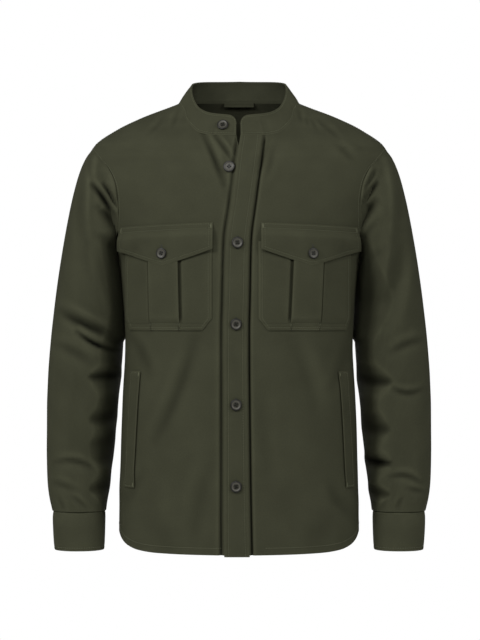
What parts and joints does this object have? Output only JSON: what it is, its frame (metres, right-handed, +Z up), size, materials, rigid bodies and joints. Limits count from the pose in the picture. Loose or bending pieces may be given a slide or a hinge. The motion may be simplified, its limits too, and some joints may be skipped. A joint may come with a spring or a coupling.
{
  "type": "shirt jacket",
  "caption": "Olive twill shirt jacket with a band collar, a buttoned front band, flapped chest pockets and slanted side pockets, filled out as if worn.",
  "frame": {"origin": "midway between the two points where the neck seam meets the shoulder seams, which is where the wearer's shoulders hold the garment", "axes": "+Z up from the hem to the collar, the front faces -Y, and the wearer's left side is at +X"},
  "size_m": [0.615, 0.2502, 0.756],
  "materials": {
    "twill": "matte heavy cotton twill",
    "twill_band": "the same twill in two layers with an interlining, topstitched along both edges",
    "tape": "matte folded twill tape",
    "horn": "dark polished horn look with a soft shine on the rim"
  },
  "bodies": {
    "root": {"back": "twill", "front_left": "twill", "front_right": "twill", "sleeve_left": "twill", "sleeve_right": "twill", "pocket_left": "twill", "pocket_right": "twill", "flap_left": "twill", "flap_right": "twill", "welt_left": "twill", "welt_right": "twill", "placket": "twill_band", "collar": "twill_band", "cuff_left": "twill_band", "cuff_right": "twill_band", "hanger_loop": "tape", "button_collar": "horn", "button_second": "horn", "button_front_1": "horn", "button_front_2": "horn", "button_front_3": "horn", "button_front_4": "horn", "button_flap_left": "horn", "button_flap_right": "horn", "button_cuff_left": "horn", "button_cuff_right": "horn"}
  },
  "joints": []
}
